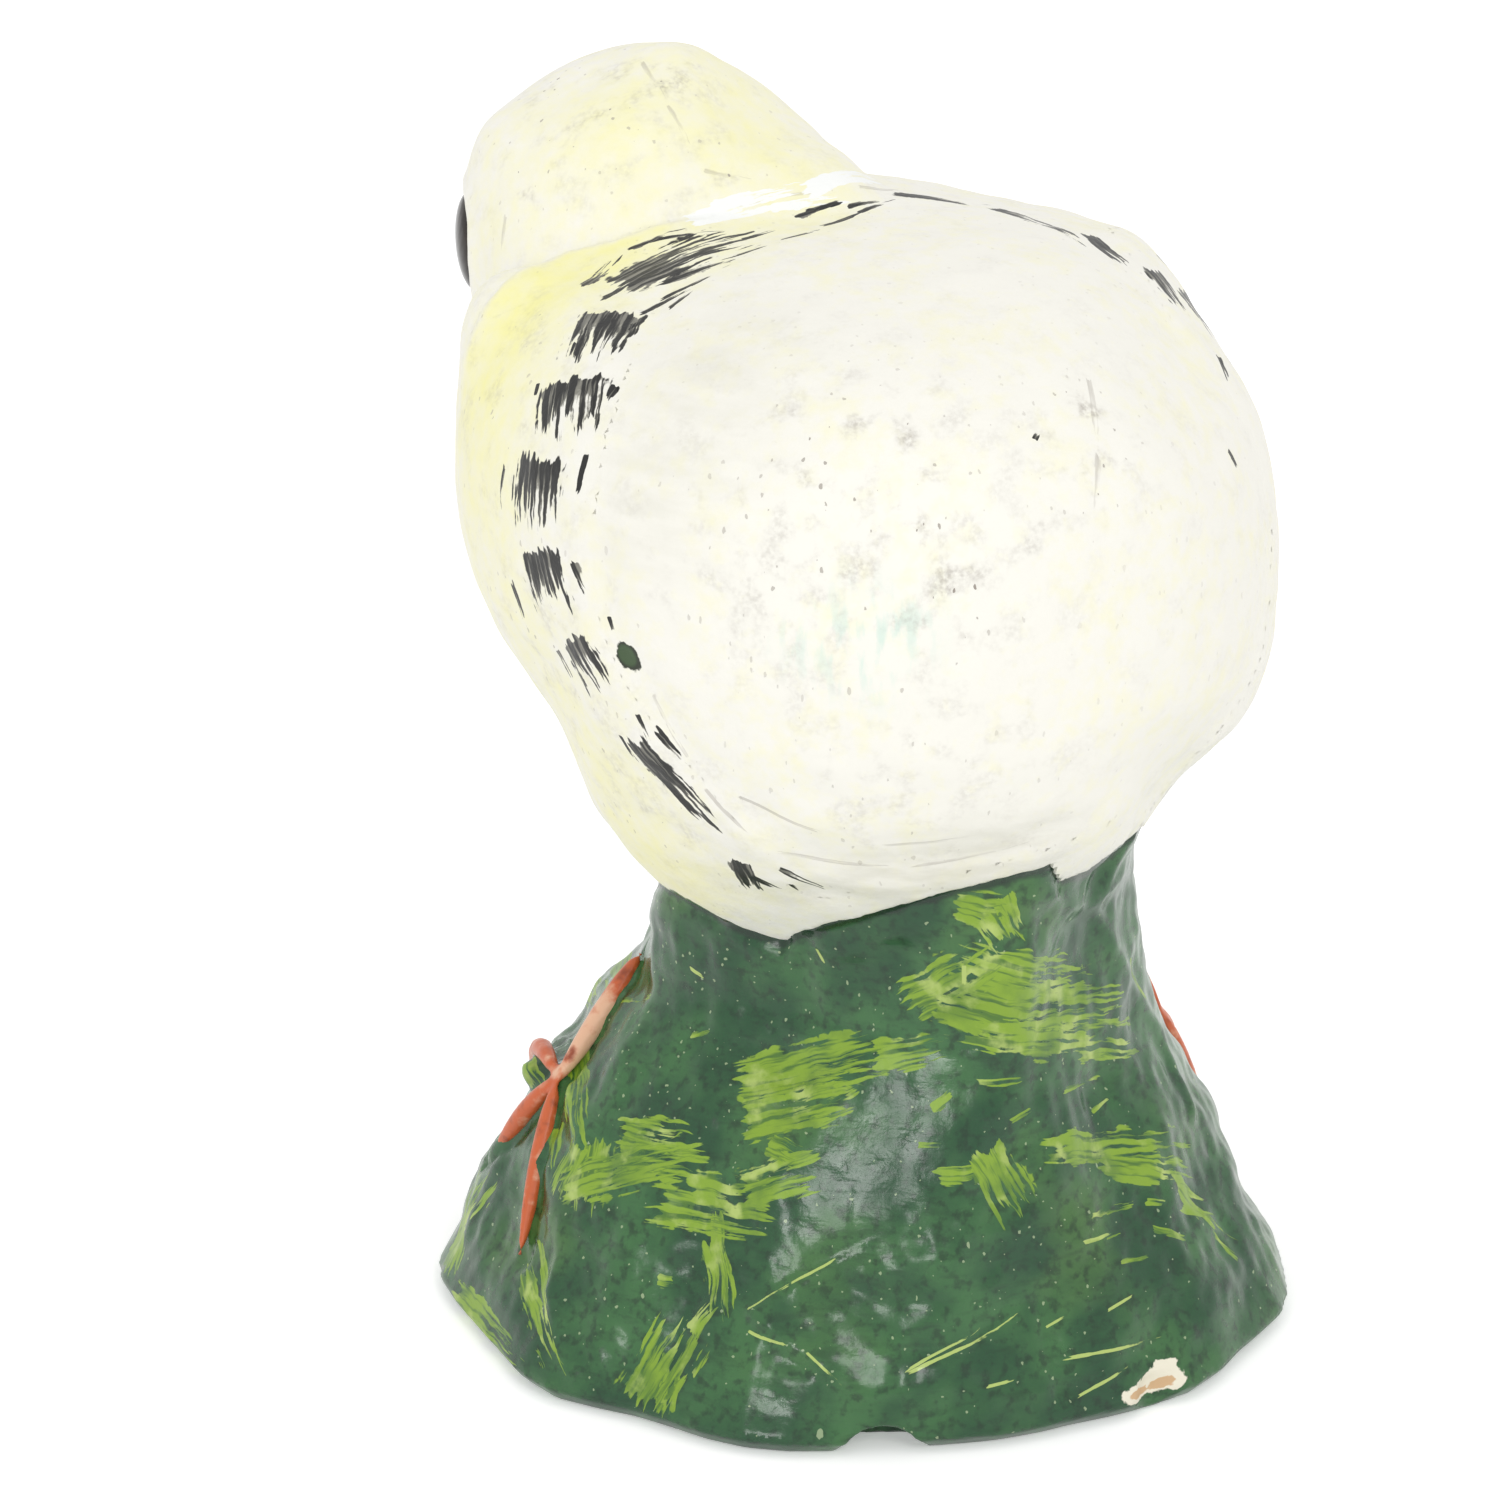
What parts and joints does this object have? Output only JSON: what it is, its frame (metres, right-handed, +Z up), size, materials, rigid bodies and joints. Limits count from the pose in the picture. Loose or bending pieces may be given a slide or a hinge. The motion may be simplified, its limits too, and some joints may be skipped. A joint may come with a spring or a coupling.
{
  "type": "owl figurine",
  "caption": "Hand-painted cast resin owl figurine, plump and ivory with barred wing edges and its head turned aside, perched on a flared glossy green mound.",
  "frame": {"origin": "on the resting face under the middle of the mound", "axes": "+Z up, -Y the way the breast faces, +X the owl's left"},
  "size_m": [0.0604, 0.0642, 0.0885],
  "materials": {
    "ivory_paint": "satin brush paint on cast resin",
    "cream_paint": "satin brush paint on cast resin",
    "moss_green_gloss": "glossy brush paint on cast resin",
    "orange_paint": "satin brush paint",
    "black_gloss": "high gloss bead"
  },
  "bodies": {
    "root": {"mound": "moss_green_gloss", "body": "ivory_paint", "left_wing": "ivory_paint", "right_wing": "ivory_paint", "tail": "ivory_paint", "head": "cream_paint", "beak": "orange_paint", "left_eye": "black_gloss", "right_eye": "black_gloss", "left_foot": "orange_paint", "right_foot": "orange_paint"}
  },
  "joints": []
}
